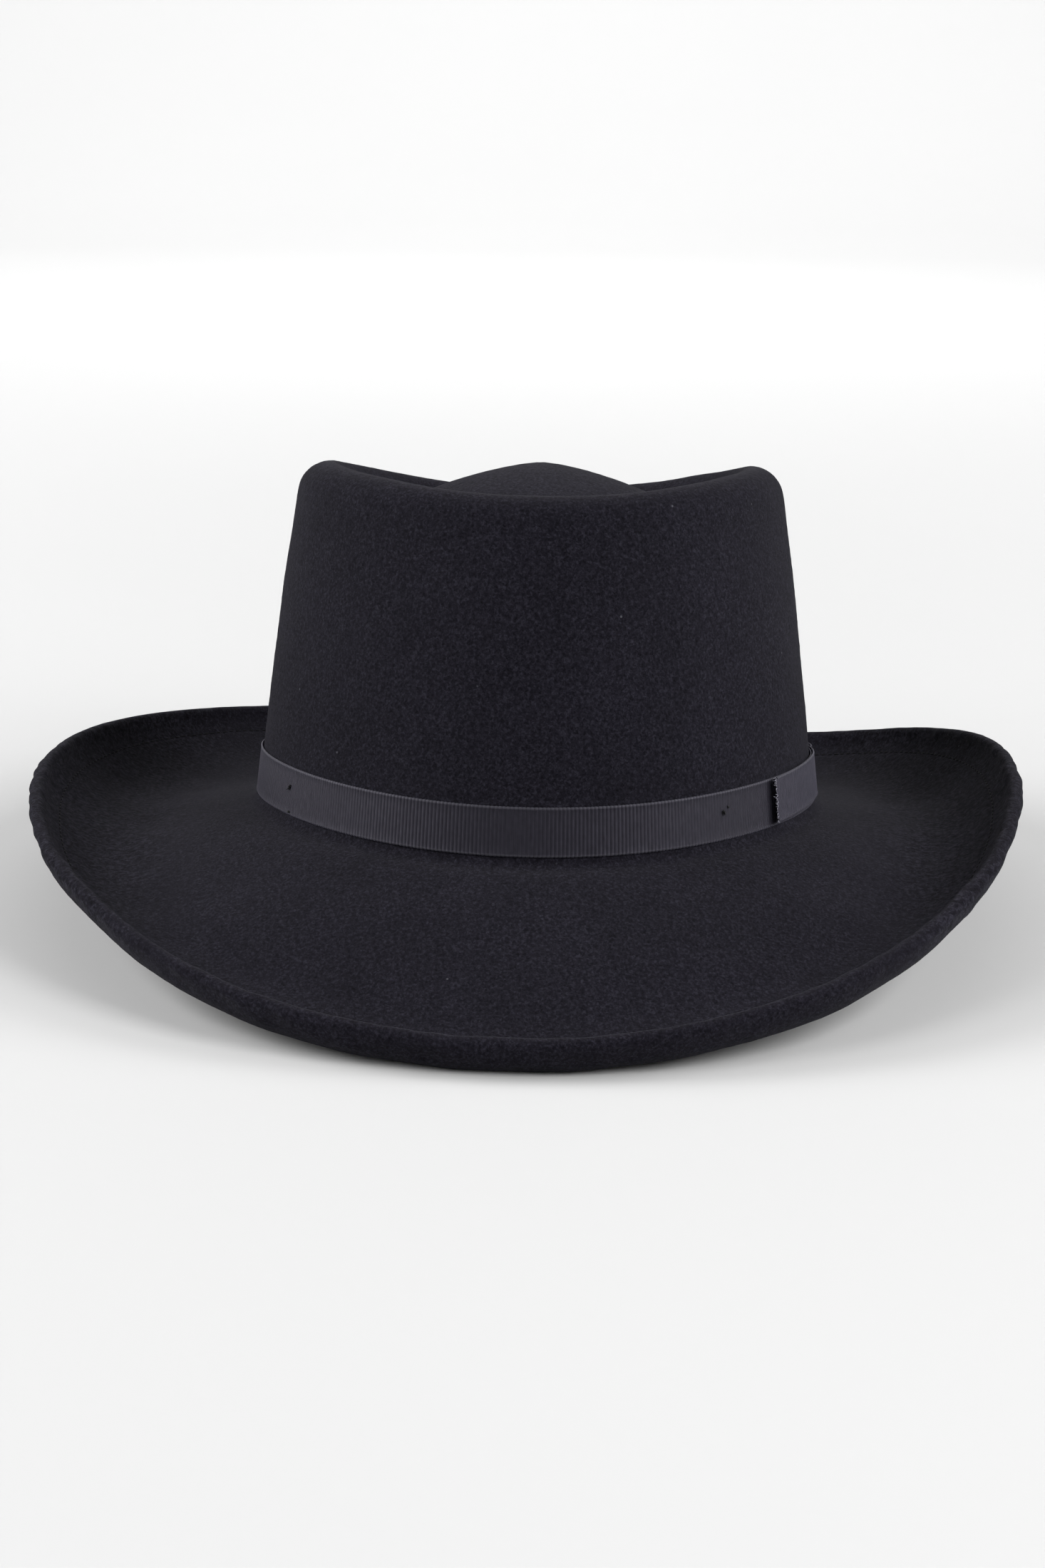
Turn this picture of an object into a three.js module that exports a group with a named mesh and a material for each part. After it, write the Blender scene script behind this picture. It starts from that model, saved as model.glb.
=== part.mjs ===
// A black wool felt gambler hat, in millimetres: telescope crown, curled brim with a stitched
// underwelt, grosgrain band with a flat side bow, and the sweatband and satin lining inside.
//
// Everything is shaped in the hat's own frame: the wearer faces -Y, the wearer's left is +X, and
// z = 0 is the break, where crown and brim meet, at the temples. A piece is placed by its turn
// angle round the hat (0 at the front, 90 degrees at the wearer's left, 180 degrees at the back)
// and by where it lies on the crown wall or the brim. At the end the whole hat is tipped back and
// lifted, so it rests on the front and back of its brim, centred on the origin.

import * as THREE from "three";

// ---- Driving dimensions -------------------------------------------------------------------

const felt = 2.2; // thickness of the felt
const gap = 0.3; // clearance between pieces that touch
const around = 48; // facets round the hat

// Crown. Ovals are [half-width across, half-length front to back] of the outside of the felt.
const base = [85.7, 104.2]; // at the break
const shoulder = [74.5, 92.6]; // just under the rolled rim
const rim = [64.2, 84.5]; // along the top of the rolled rim
const trench = [51, 65]; // along the bottom of the telescope crease
const crownHeight = 101.4; // dome and rim above the break, at the sides
const rimRoll = { front: 6.5, side: 9.4, back: 7.5 }; // how far the rim rolls down to the shoulder
const rimDip = 8.8; // how much lower the rim is at the front and back
const wallSwell = 0.6; // how far the wall bows out between break and shoulder
const trenchDepth = { front: 18, side: 15.4, back: 18 }; // below the dome
const breakHeight = { front: -7.4, side: 0, back: -6 };

// Brim. The height of its turned-up edge has a mean, and waves that go once, twice and more times
// round the hat; each wave is given by its part at the front and its part at the wearer's left.
const reach = { front: 165.5, back: 169, left: 144.2, right: 150.3 };
const fullCorners = 0.02; // how much the brim's outline is fuller than an oval
const edge = { mean: -7.2, waves: [[-25.2, 1.2], [-14.7, 2], [-0.5, -1.9], [1, 0.7]] };
const curl = { front: 6, side: 14.3, back: 6.4 }; // height of the upturn, up to the foot of the lip
const curlStart = { front: 0.7, side: 0.48, back: 0.45 }; // share of the brim's width
const lipLength = 7.5; // the last of the brim, bent up more sharply
const lipSlope = { from: { front: 0, side: 41, back: 22 }, to: 78 }; // degrees
const fillet = { out: 4.3, down: 3.3 }; // soft corner between crown and brim

// Underwelt: the outer edge of the brim, folded under and stitched down.
const weltWidth = 9.7;
const weltThickness = 4.6;
const seamInset = 8.2; // the stitching, in from the edge
const thread = 0.35; // radius

// Ribbon outside the crown, from its lower to its upper edge above the break.
const ribbon = { bottom: 0.6, top: 14.3, thickness: 0.5 };
const bowTurn = 108; // the knot of the bow, degrees
const tailTurns = [53, 150]; // the cut ends of the bow's tails
const tailLift = 1.5; // how far the cut ends stand off
const tailRide = { top: 0.6, bottom: 1.4 }; // how far the tails' edges ride up away from the bow
const loopHalfTurn = 11;
const knotHalfTurn = 3.6;
const tackTurns = { left: 38.6, right: -57, back: 192 };

// Sweatband and its tape inside the crown. Inset is in from the outside of the wall.
const sweatband = { bottom: 0.6, top: 34.5, inset: 3.6, thickness: 1.2 };
const slitTurn = 180.6; // its two ends meet either side of the back
const reed = { radius: 0.8, height: -0.9 };
const reedTape = { thickness: 0.35, bottom: -2.4, outerTop: 9, innerTop: 1.6 };

// Satin lining.
const lining = { bottom: 16, ceiling: 75, tipRise: 3, thickness: 0.45 };
const piping = 0.9; // radius

// Rest: how the hat is tipped back, and how deep the resting flats are pressed into the brim.
const tip = 8.44; // degrees
const restFlat = 0.8;

// ---- Helpers --------------------------------------------------------------------------------

const { sin, cos, min, max, abs, round } = Math;
const degree = Math.PI / 180;
const mix = (a, b, share) => a + (b - a) * share;
const mixOval = (p, q, share) => [mix(p[0], q[0], share), mix(p[1], q[1], share)];
const grow = (oval, by) => [oval[0] + by, oval[1] + by];
const onOval = (oval, turn, z) => new THREE.Vector3(oval[0] * sin(turn), -oval[1] * cos(turn), z);
const upward = new THREE.Vector3(0, 0, 1);

// Evenly spaced values from one to another, both included.
const spread = (from, to, steps) => Array.from({ length: steps + 1 }, (_, i) => mix(from, to, i / steps));

// A dimension given at the front, the sides and the back, blended smoothly between them.
function blend({ front, side, back }, turn) {
  const ends = (front + back) / 2;
  return (ends + side) / 2 + ((front - back) / 2) * cos(turn) + ((ends - side) / 2) * cos(2 * turn);
}

// ---- The outside of the felt ----------------------------------------------------------------

const breakZ = (turn) => blend(breakHeight, turn);
const rimZ = (turn) => crownHeight - rimDip * cos(turn) ** 2;
const trenchZ = (turn) => crownHeight - blend(trenchDepth, turn);
const shoulderZ = (turn) => rimZ(turn) - blend(rimRoll, turn);

// Each stretch of the crown runs from share 0 to share 1, downward and outward.
function domePoint(share, turn) {
  const fall = share ** 1.5 * (1 + 1.5 * (1 - share) * share ** 6);
  return onOval([trench[0] * share, trench[1] * share], turn, mix(crownHeight, trenchZ(turn), fall));
}

function creasePoint(share, turn) {
  const rise = sin(share * 90 * degree) ** 2;
  return onOval(mixOval(trench, rim, share), turn, mix(trenchZ(turn), rimZ(turn), rise));
}

function rimPoint(share, turn) {
  const bend = share * 90 * degree;
  return onOval(mixOval(rim, shoulder, sin(bend)), turn, mix(shoulderZ(turn), rimZ(turn), cos(bend)));
}

// The wall, by height above the break; a positive offset stands off it, a negative one is inside.
function wallPoint(height, turn, offset = 0) {
  const share = min(1, height / (shoulderZ(turn) - breakZ(turn)));
  const swell = wallSwell * sin(max(0, share) * 180 * degree);
  return onOval(grow(mixOval(base, shoulder, share), swell + offset), turn, breakZ(turn) + height);
}

const wallStretch = (share, turn) => wallPoint((1 - share) * (shoulderZ(turn) - breakZ(turn)), turn);

function filletPoint(share, turn) {
  const bend = share * 90 * degree;
  return onOval(grow(base, fillet.out * (1 - cos(bend))), turn, breakZ(turn) - fillet.down * sin(bend));
}

// The lip bends up along an arc, from its foot to the brim's edge.
function lipPoint(share, turn) {
  const from = blend(lipSlope.from, turn) * degree;
  const to = lipSlope.to * degree;
  const radius = lipLength / (to - from);
  const slope = mix(from, to, share);
  const [short, low] = [radius * (sin(to) - sin(slope)), radius * (cos(slope) - cos(to))];
  const full = 1 + fullCorners * sin(2 * turn) ** 2;
  const across = (sin(turn) > 0 ? reach.left : reach.right) * full;
  const lengthwise = (cos(turn) > 0 ? reach.front : reach.back) * full;
  const z = edge.waves.reduce(
    (sum, [front, left], i) => sum + front * cos((i + 1) * turn) + left * sin((i + 1) * turn), edge.mean);
  return onOval([across - short, lengthwise - short], turn, z - low);
}

// The brim falls away from the crown, then curls up to the foot of its lip.
function brimPoint(share, turn) {
  const outer = lipPoint(0, turn);
  const start = blend(curlStart, turn);
  const upturn = blend(curl, turn);
  const rise = upturn * max(0, (share - start) / (1 - start)) ** 2.2;
  const fall = mix(breakZ(turn) - fillet.down, outer.z - upturn, share ** 1.15);
  return onOval(grow(base, fillet.out), turn, 0).lerp(outer, share).setZ(fall + rise);
}

// A point on the felt's outside, the way it faces, and the way the profile runs.
function surface(stretch, share, turn) {
  const step = 0.001;
  const here = stretch(share, turn);
  const along = stretch(min(1, share + step), turn).sub(stretch(max(0, share - step), turn)).normalize();
  const nearby = max(share, step); // the middle of the dome is a single point
  const across = stretch(nearby, turn + step).sub(stretch(nearby, turn - step));
  const normal = along.clone().cross(across).normalize();
  return { here, along, normal, at: (depth) => here.clone().addScaledVector(normal, -depth) };
}

// The share of the brim that lies a given distance inside its edge, lip included.
function shareInside(distance, turn) {
  const foot = brimPoint(1, turn);
  let [low, high] = [0.5, 1];
  for (let i = 0; i < 20; i++) {
    const middle = (low + high) / 2;
    if (brimPoint(middle, turn).distanceTo(foot) > distance - lipLength) low = middle;
    else high = middle;
  }
  return low;
}

// ---- Solids -----------------------------------------------------------------------------------

// A closed body through a row of rings of points. Every ring runs down one face and back up the
// other. Unless the rings go all the way round, each end is closed between the two faces.
function body(rings, closed) {
  const points = rings[0].length;
  const index = [];
  const quad = (a, b, c, d) => index.push(a, b, d, b, c, d);
  const at = (ring, point) => (ring % rings.length) * points + (point % points);
  for (let r = 0; r < (closed ? rings.length : rings.length - 1); r++)
    for (let p = 0; p < points; p++) quad(at(r, p), at(r, p + 1), at(r + 1, p + 1), at(r + 1, p));
  if (!closed)
    for (let p = 0; p < points / 2 - 1; p++) {
      const [q, last] = [points - 1 - p, rings.length - 1];
      quad(at(0, p), at(0, q), at(0, q - 1), at(0, p + 1));
      quad(at(last, p), at(last, p + 1), at(last, q - 1), at(last, q));
    }
  const geometry = new THREE.BufferGeometry();
  geometry.setFromPoints(rings.flat());
  geometry.setIndex(index);
  geometry.computeVertexNormals();
  return geometry;
}

// Turn angles between two places given in degrees; all the way round leaves out the repeated end.
function turns(from = 0, to = 360) {
  const all = spread(from, to, max(2, round(((to - from) * around) / 360))).map((a) => a * degree);
  return to - from === 360 ? all.slice(0, -1) : all;
}

// A strip lying along the crown wall between two turns. Levels are heights above the break from
// top to bottom, outer is how far its outer face stands off the wall.
function wallStrip({ from, to, levels, outer, thickness, lift = () => 0 }) {
  const rings = turns(from, to).map((turn) => {
    const face = (offset) => levels(turn).map((height) => wallPoint(height, turn, offset + lift(turn)));
    return [...face(outer), ...face(outer - thickness).reverse()];
  });
  return body(rings, from === undefined);
}

// A cord round the hat; place gives its centre line and the direction that is up off the cloth.
function cord(place, radius, sides = 6) {
  const rings = turns().map((turn) => {
    const { here, up } = place(turn);
    const ahead = place(turn + 0.01).here.sub(place(turn - 0.01).here).normalize();
    const side = up.clone().cross(ahead);
    return spread(0, 360, sides).slice(0, -1).map((bend) =>
      here.clone().addScaledVector(side, radius * cos(bend * degree))
        .addScaledVector(up, radius * sin(bend * degree))
    );
  });
  return body(rings, true);
}

const hat = new THREE.Group();

function add(name, geometry, colour, roughness) {
  const mesh = new THREE.Mesh(geometry, new THREE.MeshStandardMaterial({ color: colour, roughness }));
  mesh.name = name;
  hat.add(mesh);
  return mesh;
}

const colours = { felt: 0x16161b, ribbon: 0x2b2a33, thread: 0x0f0f13, leather: 0x1f1a18 };
Object.assign(colours, { satin: 0x1a1a20, cotton: 0x26262c, plastic: 0xb9b7b0 });

// Felt: crown, brim and folded underwelt, blocked from one piece.
const tipBack = new THREE.Matrix4().makeRotationX(-tip * degree);
const restUp = upward.clone().applyMatrix4(tipBack.clone().invert());

function feltBody() {
  const rings = turns().map((turn) => {
    const outside = [];
    const lay = (stretch, shares) => shares.forEach((share) => outside.push(surface(stretch, share, turn)));
    lay(domePoint, spread(0, 1, 4));
    lay(creasePoint, [0.35, 0.65, 1]);
    lay(rimPoint, [0.33, 0.67, 1]);
    lay(wallStretch, [0.33, 0.67, 1]);
    lay(filletPoint, [0.5, 1]);
    const hem = shareInside(weltWidth, turn);
    lay(brimPoint, spread(0, hem, 6).slice(1));

    // Underwelt: level with the brim on top, rounded at the edge, and folded back underneath.
    const welt = [surface(brimPoint, 1, turn)];
    [0.33, 0.67, 1].forEach((share) => welt.push(surface(lipPoint, share, turn)));
    const tipOfLip = welt[welt.length - 1];
    const nose = [45, 0, -45].map((bend) =>
      tipOfLip.at(weltThickness / 2)
        .addScaledVector(tipOfLip.along, (weltThickness / 2) * cos(bend * degree))
        .addScaledVector(tipOfLip.normal, (weltThickness / 2) * sin(bend * degree))
    );
    const flap = [surface(brimPoint, hem, turn), ...welt].map((place) => place.at(weltThickness)).reverse();
    const inside = outside.map((place) => place.at(felt)).reverse();
    return [...[...outside, ...welt].map((place) => place.here), ...nose, ...flap, ...inside];
  });

  // The hat's weight presses the lowest parts of the brim flat.
  const floor = min(...rings.flat().map((point) => point.dot(restUp))) + restFlat;
  rings.flat().forEach((point) => point.addScaledVector(restUp, max(0, floor - point.dot(restUp))));
  return body(rings, true);
}

add("felt_body", feltBody(), colours.felt, 0.95);

// The welt's stitching, a thread lying on top of the brim.
function brimSeam(turn) {
  const place = surface(brimPoint, shareInside(seamInset, turn), turn);
  return { here: place.at(-gap - thread), up: place.normal };
}

add("brim_stitching", cord(brimSeam, thread, 4), colours.thread, 0.8);

// Ribbon band, butted under the bow.
const ribbonEdges = () => [ribbon.top, ribbon.bottom];
const layer = ribbon.thickness + gap; // one more layer of ribbon
const slot = 0.4; // half the space between the band's ends, degrees

add("ribbon_band", wallStrip({
  from: bowTurn + slot, to: bowTurn + 360 - slot, levels: ribbonEdges, outer: layer,
  thickness: ribbon.thickness,
}), colours.ribbon, 0.7);

// Bow tails: one flat strip whose cut ends stand off the band.
function tailRise(turn) {
  const toEnd = min(turn / degree - tailTurns[0], tailTurns[1] - turn / degree);
  return tailLift * max(0, 1 - toEnd / 22) ** 2;
}

function tailEdges(turn) {
  const away = min(1, max(0, (abs(turn / degree - bowTurn) - 8) / 22));
  return [ribbon.top + tailRide.top * away, ribbon.bottom + tailRide.bottom * away];
}

add("bow_tails", wallStrip({
  from: tailTurns[0], to: tailTurns[1], levels: tailEdges, outer: 2 * layer,
  thickness: ribbon.thickness, lift: tailRise,
}), colours.ribbon, 0.7);

// Bow loops: a flattened loop of ribbon, laid against the tails.
function bowLoops() {
  const [near, far] = [2 * layer + gap + ribbon.thickness / 2, 3 * layer + gap + ribbon.thickness / 2];
  const sideways = spread(-1, 1, 8);
  const fullness = (along) => 0.5 * sin(max(0, abs(along) - 0.4) * 300 * degree);
  const path = [
    ...sideways.map((along) => [along, far + fullness(along)]),
    [1.04, (near + far) / 2],
    ...sideways.map((along) => [-along, near]),
    [-1.04, (near + far) / 2],
  ];
  const centre = ([along, offset], height) =>
    wallPoint(height, (bowTurn + along * loopHalfTurn) * degree, offset);
  const rings = path.map((spot, i) => {
    const ahead = path[(i + 1) % path.length];
    const behind = path[(i + path.length - 1) % path.length];
    const side = centre(ahead, 7).sub(centre(behind, 7)).setZ(0).normalize().cross(upward);
    const face = (way) => ribbonEdges().map((height) =>
      centre(spot, height).addScaledVector(side, (way * ribbon.thickness) / 2));
    return [...face(1), ...face(-1).reverse()];
  });
  return body(rings, true);
}

add("bow_loops", bowLoops(), colours.ribbon, 0.7);

// Bow knot: a short ribbon wrapped over the loops, round the top and bottom of the band.
function bowKnot() {
  const outer = 4 * layer + gap + ribbon.thickness / 2 + 0.15;
  const [low, high] = [ribbon.bottom - gap, ribbon.top + gap];
  const t = ribbon.thickness;
  const outside = [[gap, high + t], [outer, high + t], [outer, low - t], [gap, low - t]];
  const hollow = [[gap, low], [outer - t, low], [outer - t, high], [gap, high]];
  return body(turns(bowTurn - knotHalfTurn, bowTurn + knotHalfTurn).map((turn) =>
    [...outside, ...hollow].map(([offset, height]) => wallPoint(height, turn, offset))), false);
}

add("bow_knot", bowKnot(), colours.ribbon, 0.7);

// Thread tacks that hold the band: small domed knots.
for (const [side, turn] of Object.entries(tackTurns)) {
  const tack = add(`band_tack_${side}`, new THREE.SphereGeometry(0.8, 8, 6), colours.thread, 0.8);
  tack.position.copy(wallPoint(8.5, turn * degree, layer + gap + 0.5));
  tack.rotation.z = turn * degree;
  tack.scale.set(1.3, 0.55, 0.8);
}

// Sweatband, sewn along its lower edge with the reed in its tape.
add("sweatband", wallStrip({
  from: slitTurn, to: 720 - slitTurn, levels: () => spread(sweatband.top, sweatband.bottom, 2),
  outer: -sweatband.inset, thickness: sweatband.thickness,
}), colours.leather, 0.5);

const reedInset = sweatband.inset + sweatband.thickness / 2;
const reedLine = (turn) => ({ here: wallPoint(reed.height, turn, -reedInset), up: upward });
add("sweatband_reed", cord(reedLine, reed.radius), colours.plastic, 0.4);

function reedTapeBody() {
  const [outer, inner] = [reed.radius + gap - reedInset, -reed.radius - gap - reedInset];
  const { thickness: t, bottom, outerTop, innerTop } = reedTape;
  const outside = [[outer + t, outerTop], [outer + t, bottom], [inner - t, bottom], [inner - t, innerTop]];
  const inside = [[inner, innerTop], [inner, bottom + t], [outer, bottom + t], [outer, outerTop]];
  return body(turns().map((turn) =>
    [...outside, ...inside].map(([offset, height]) => wallPoint(height, turn, offset))), true);
}

add("sweatband_tape", reedTapeBody(), colours.cotton, 0.7);

const seamOffset = -(sweatband.inset + sweatband.thickness + gap + thread);
const sweatSeam = (turn) => ({ here: wallPoint(3.6, turn, seamOffset), up: upward });
add("sweatband_stitching", cord(sweatSeam, thread, 4), colours.thread, 0.8);

// Small flat bow over the sweatband's slit.
function sweatbandBow() {
  const half = [[0, 0.9], [5, 3], [8, 2.6], [8.4, 0], [8, -2.6], [5, -3]];
  const outline = [...half, ...half.map(([x, y]) => [-x, -y])];
  const shape = new THREE.Shape(outline.map(([x, y]) => new THREE.Vector2(x, y)));
  const bow = new THREE.ExtrudeGeometry(shape, { depth: 1, bevelEnabled: false });
  const place = wallPoint(9, Math.PI, -(sweatband.inset + sweatband.thickness + gap + 1));
  return bow.rotateX(90 * degree).translate(place.x, place.y, place.z);
}

add("sweatband_bow", sweatbandBow(), colours.ribbon, 0.6);

// Satin lining: a wall, a domed tip, and the piping that joins them.
const liningOuter = -(felt + gap);
const ceiling = (turn) => lining.ceiling - breakZ(turn);
add("lining_wall", wallStrip({
  levels: (turn) => spread(ceiling(turn), lining.bottom, 3), outer: liningOuter,
  thickness: lining.thickness,
}), colours.satin, 0.35);

function liningTip() {
  const inset = liningOuter - lining.thickness - gap;
  const rings = turns().map((turn) => {
    const foot = wallPoint(ceiling(turn) - 0.6, turn, inset);
    const face = (drop) => [0, 0.4, 0.75, 1].map((share) =>
      new THREE.Vector3(foot.x * share, foot.y * share,
        foot.z + lining.tipRise * (1 - share ** 2) - drop));
    return [...face(0), ...face(lining.thickness).reverse()];
  });
  return body(rings, true);
}

add("lining_tip", liningTip(), colours.satin, 0.35);

const pipingInset = liningOuter - lining.thickness - gap - piping;
const pipingLine = (turn) => ({
  here: wallPoint(ceiling(turn) - 0.6 - lining.thickness - gap - piping, turn, pipingInset),
  up: upward,
});
add("lining_piping", cord(pipingLine, piping), colours.satin, 0.4);

// ---- Rest pose --------------------------------------------------------------------------------

hat.rotation.x = -tip * degree;
hat.updateMatrixWorld(true);
const box = new THREE.Box3().setFromObject(hat, true);
const middle = box.getCenter(new THREE.Vector3());
hat.position.set(-middle.x, -middle.y, -box.min.z);
hat.updateMatrixWorld(true);

export default hat;
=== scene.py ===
"""Looks of the black felt gambler hat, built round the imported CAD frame.

Shapes are worked out in millimetres in the hat's own frame (z = 0 at the break between crown and
brim at the temples, -Y to the front, +X to the wearer's left) and then moved into the row frame.
A place on the hat is given by its turn angle: 0 at the front, 90 degrees at the wearer's left."""

import math

import bpy
import numpy as np
from mathutils import Matrix, Vector


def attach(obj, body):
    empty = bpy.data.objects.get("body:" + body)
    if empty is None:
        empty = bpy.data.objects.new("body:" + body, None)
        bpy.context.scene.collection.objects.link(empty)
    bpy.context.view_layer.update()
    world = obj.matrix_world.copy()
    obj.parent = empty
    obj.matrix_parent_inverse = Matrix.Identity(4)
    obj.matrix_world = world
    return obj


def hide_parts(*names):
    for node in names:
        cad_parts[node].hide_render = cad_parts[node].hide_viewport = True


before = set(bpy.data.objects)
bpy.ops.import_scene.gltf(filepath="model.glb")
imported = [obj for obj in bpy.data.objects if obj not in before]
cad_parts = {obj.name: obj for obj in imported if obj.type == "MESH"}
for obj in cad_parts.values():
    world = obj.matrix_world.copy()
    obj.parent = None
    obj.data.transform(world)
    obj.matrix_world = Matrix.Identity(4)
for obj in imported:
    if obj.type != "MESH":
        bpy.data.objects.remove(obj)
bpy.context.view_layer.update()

MM = 0.001
TAU = 2 * math.pi

# ---- Dimensions, the same as the CAD's ----

FELT = 2.2
BASE = (85.7, 104.2)
SHOULDER = (74.5, 92.6)
RIM = (64.2, 84.5)
TRENCH = (51.0, 65.0)
CROWN_HEIGHT = 101.4
RIM_ROLL = (6.5, 9.4, 7.5)
RIM_DIP = 8.8
WALL_SWELL = 0.6
TRENCH_DEPTH = (18.0, 15.4, 18.0)
BREAK_HEIGHT = (-7.4, 0.0, -6.0)
REACH = {"front": 165.5, "back": 169.0, "left": 144.2, "right": 150.3}
FULL_CORNERS = 0.02
EDGE_MEAN = -7.2
EDGE_WAVES = ((-25.2, 1.2), (-14.7, 2.0), (-0.5, -1.9), (1.0, 0.7))
CURL = (6.0, 14.3, 6.4)
CURL_START = (0.7, 0.48, 0.45)
LIP_LENGTH = 7.5
LIP_FROM = (0.0, 41.0, 22.0)
LIP_TO = 78.0
CURL_POWER, BRIM_FALL_POWER = 2.2, 1.15
FILLET_OUT, FILLET_DOWN = 4.3, 3.3
WELT_WIDTH, WELT_THICKNESS, SEAM_INSET = 9.7, 4.6, 8.2
RIBBON_BOTTOM, RIBBON_TOP, RIBBON_THICKNESS = 0.6, 14.3, 0.5
GAP = 0.3
LAYER = RIBBON_THICKNESS + GAP
BOW_TURN = 108.0
TAIL_TURNS = (53.0, 150.0)
TAIL_LIFT = 1.5
TAIL_RIDE = {"top": 0.6, "bottom": 1.4}
LOOP_HALF_TURN, KNOT_HALF_TURN = 11.0, 3.6
SWEATBAND_BOTTOM, SWEATBAND_TOP, SWEATBAND_INSET, SWEATBAND_THICKNESS = 0.6, 34.5, 3.6, 1.2
SLIT_TURN = 180.6
SEWN_HEIGHT = 3.6
REED_RADIUS, REED_HEIGHT = 0.8, -0.9
LINING_BOTTOM, LINING_CEILING, LINING_THICKNESS, TIP_RISE = 16.0, 75.0, 0.45, 3.0
SEAM_DROP = 0.6  # of the lining tip's edge below the wall's top
PIPING_RADIUS = 0.9
RIB_PITCH = 1.13

TIP_BACK = math.radians(8.44)
OFFSET = np.array([3.0498, 1.47746, 30.70899])
ROTATION = np.array([
    [1, 0, 0],
    [0, math.cos(TIP_BACK), math.sin(TIP_BACK)],
    [0, -math.sin(TIP_BACK), math.cos(TIP_BACK)],
])


def to_row(points):
    """Hat frame in millimetres to row frame in metres."""
    return (np.asarray(points, float) @ ROTATION.T + OFFSET) * MM


# ---- The felt's outside, as functions of share and turn (arrays) ----

def blend(value, turn):
    """A value given at the front, sides and back, and smooth between them."""
    front, side, back = value
    ends = (front + back) / 2
    return (ends + side) / 2 + (front - back) / 2 * np.cos(turn) + (ends - side) / 2 * np.cos(2 * turn)


def on_oval(a, b, turn, z):
    a, b, turn, z = np.broadcast_arrays(a, b, turn, z)
    return np.stack([a * np.sin(turn), -b * np.cos(turn), z], -1)


def mix(a, b, share):
    return a + (b - a) * share


def break_z(turn):
    return blend(BREAK_HEIGHT, turn)


def rim_z(turn):
    return CROWN_HEIGHT - RIM_DIP * np.cos(turn) ** 2


def trench_z(turn):
    return CROWN_HEIGHT - blend(TRENCH_DEPTH, turn)


def shoulder_z(turn):
    return rim_z(turn) - blend(RIM_ROLL, turn)


def dome_point(share, turn):
    fall = share ** 1.5 * (1 + 1.5 * (1 - share) * share ** 6)
    return on_oval(TRENCH[0] * share, TRENCH[1] * share, turn, mix(CROWN_HEIGHT, trench_z(turn), fall))


def crease_point(share, turn):
    rise = np.sin(share * math.pi / 2) ** 2
    return on_oval(mix(TRENCH[0], RIM[0], share), mix(TRENCH[1], RIM[1], share), turn,
                   mix(trench_z(turn), rim_z(turn), rise))


def rim_point(share, turn):
    bend = share * math.pi / 2
    out = np.sin(bend)
    return on_oval(mix(RIM[0], SHOULDER[0], out), mix(RIM[1], SHOULDER[1], out), turn,
                   mix(shoulder_z(turn), rim_z(turn), np.cos(bend)))


def wall_point(height, turn, offset=0.0):
    share = np.minimum(1, height / (shoulder_z(turn) - break_z(turn)))
    swell = WALL_SWELL * np.sin(np.maximum(0, share) * math.pi) + offset
    return on_oval(mix(BASE[0], SHOULDER[0], share) + swell, mix(BASE[1], SHOULDER[1], share) + swell,
                   turn, break_z(turn) + height)


def wall_stretch(share, turn):
    return wall_point((1 - share) * (shoulder_z(turn) - break_z(turn)), turn)


def fillet_point(share, turn):
    bend = share * math.pi / 2
    out = FILLET_OUT * (1 - np.cos(bend))
    return on_oval(BASE[0] + out, BASE[1] + out, turn, break_z(turn) - FILLET_DOWN * np.sin(bend))


def lip_point(share, turn):
    start = np.radians(blend(LIP_FROM, turn))
    end = math.radians(LIP_TO)
    radius = LIP_LENGTH / (end - start)
    slope = mix(start, end, share)
    short = radius * (math.sin(end) - np.sin(slope))
    low = radius * (np.cos(slope) - math.cos(end))
    full = 1 + FULL_CORNERS * np.sin(2 * turn) ** 2
    across = np.where(np.sin(turn) > 0, REACH["left"], REACH["right"]) * full
    along = np.where(np.cos(turn) > 0, REACH["front"], REACH["back"]) * full
    z = EDGE_MEAN + sum(f * np.cos((i + 1) * turn) + s * np.sin((i + 1) * turn)
                        for i, (f, s) in enumerate(EDGE_WAVES))
    return on_oval(across - short, along - short, turn, z - low)


def brim_point(share, turn):
    outer = lip_point(0.0, turn)
    start, upturn = blend(CURL_START, turn), blend(CURL, turn)
    rise = upturn * np.maximum(0, (share - start) / (1 - start)) ** CURL_POWER
    fall = mix(break_z(turn) - FILLET_DOWN, outer[..., 2] - upturn, share ** BRIM_FALL_POWER)
    inner = on_oval(BASE[0] + FILLET_OUT, BASE[1] + FILLET_OUT, turn, 0.0)
    point = mix(inner, outer, np.asarray(share)[..., None])
    point[..., 2] = fall + rise
    return point


def unit(vectors):
    return vectors / np.maximum(np.linalg.norm(vectors, axis=-1, keepdims=True), 1e-12)


def running_length(line):
    """The distance along a line of points to each of them."""
    return np.concatenate([[0], np.cumsum(np.linalg.norm(np.diff(line, axis=0), axis=1))])


def rows_at(s, run, rows):
    """Rows of values, one for each distance in run, interpolated at the distances s."""
    return np.stack([np.interp(s, run, column) for column in rows.T], -1)


# ---- Seeded waviness ----

def waviness(points, wavelength, seed, waves=14):
    """A smooth random field over points in millimetres, about -1 to 1."""
    rng = np.random.default_rng(seed)
    total = np.zeros(points.shape[:-1])
    for _ in range(waves):
        direction = unit(rng.normal(size=3))
        number = TAU / (wavelength * rng.uniform(0.7, 1.5))
        total += np.sin(points @ direction * number + rng.uniform(0, TAU))
    return total / math.sqrt(waves / 2) / 1.6


def layered_waviness(points, layers):
    """A sum of waviness, each layer with its height in millimetres, wavelength and seed."""
    return sum(tall * waviness(points, wavelength, seed) for tall, wavelength, seed in layers)


def smoothstep(low, high, x):
    t = np.clip((x - low) / (high - low), 0, 1)
    return t * t * (3 - 2 * t)


# ---- Mesh making ----

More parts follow.
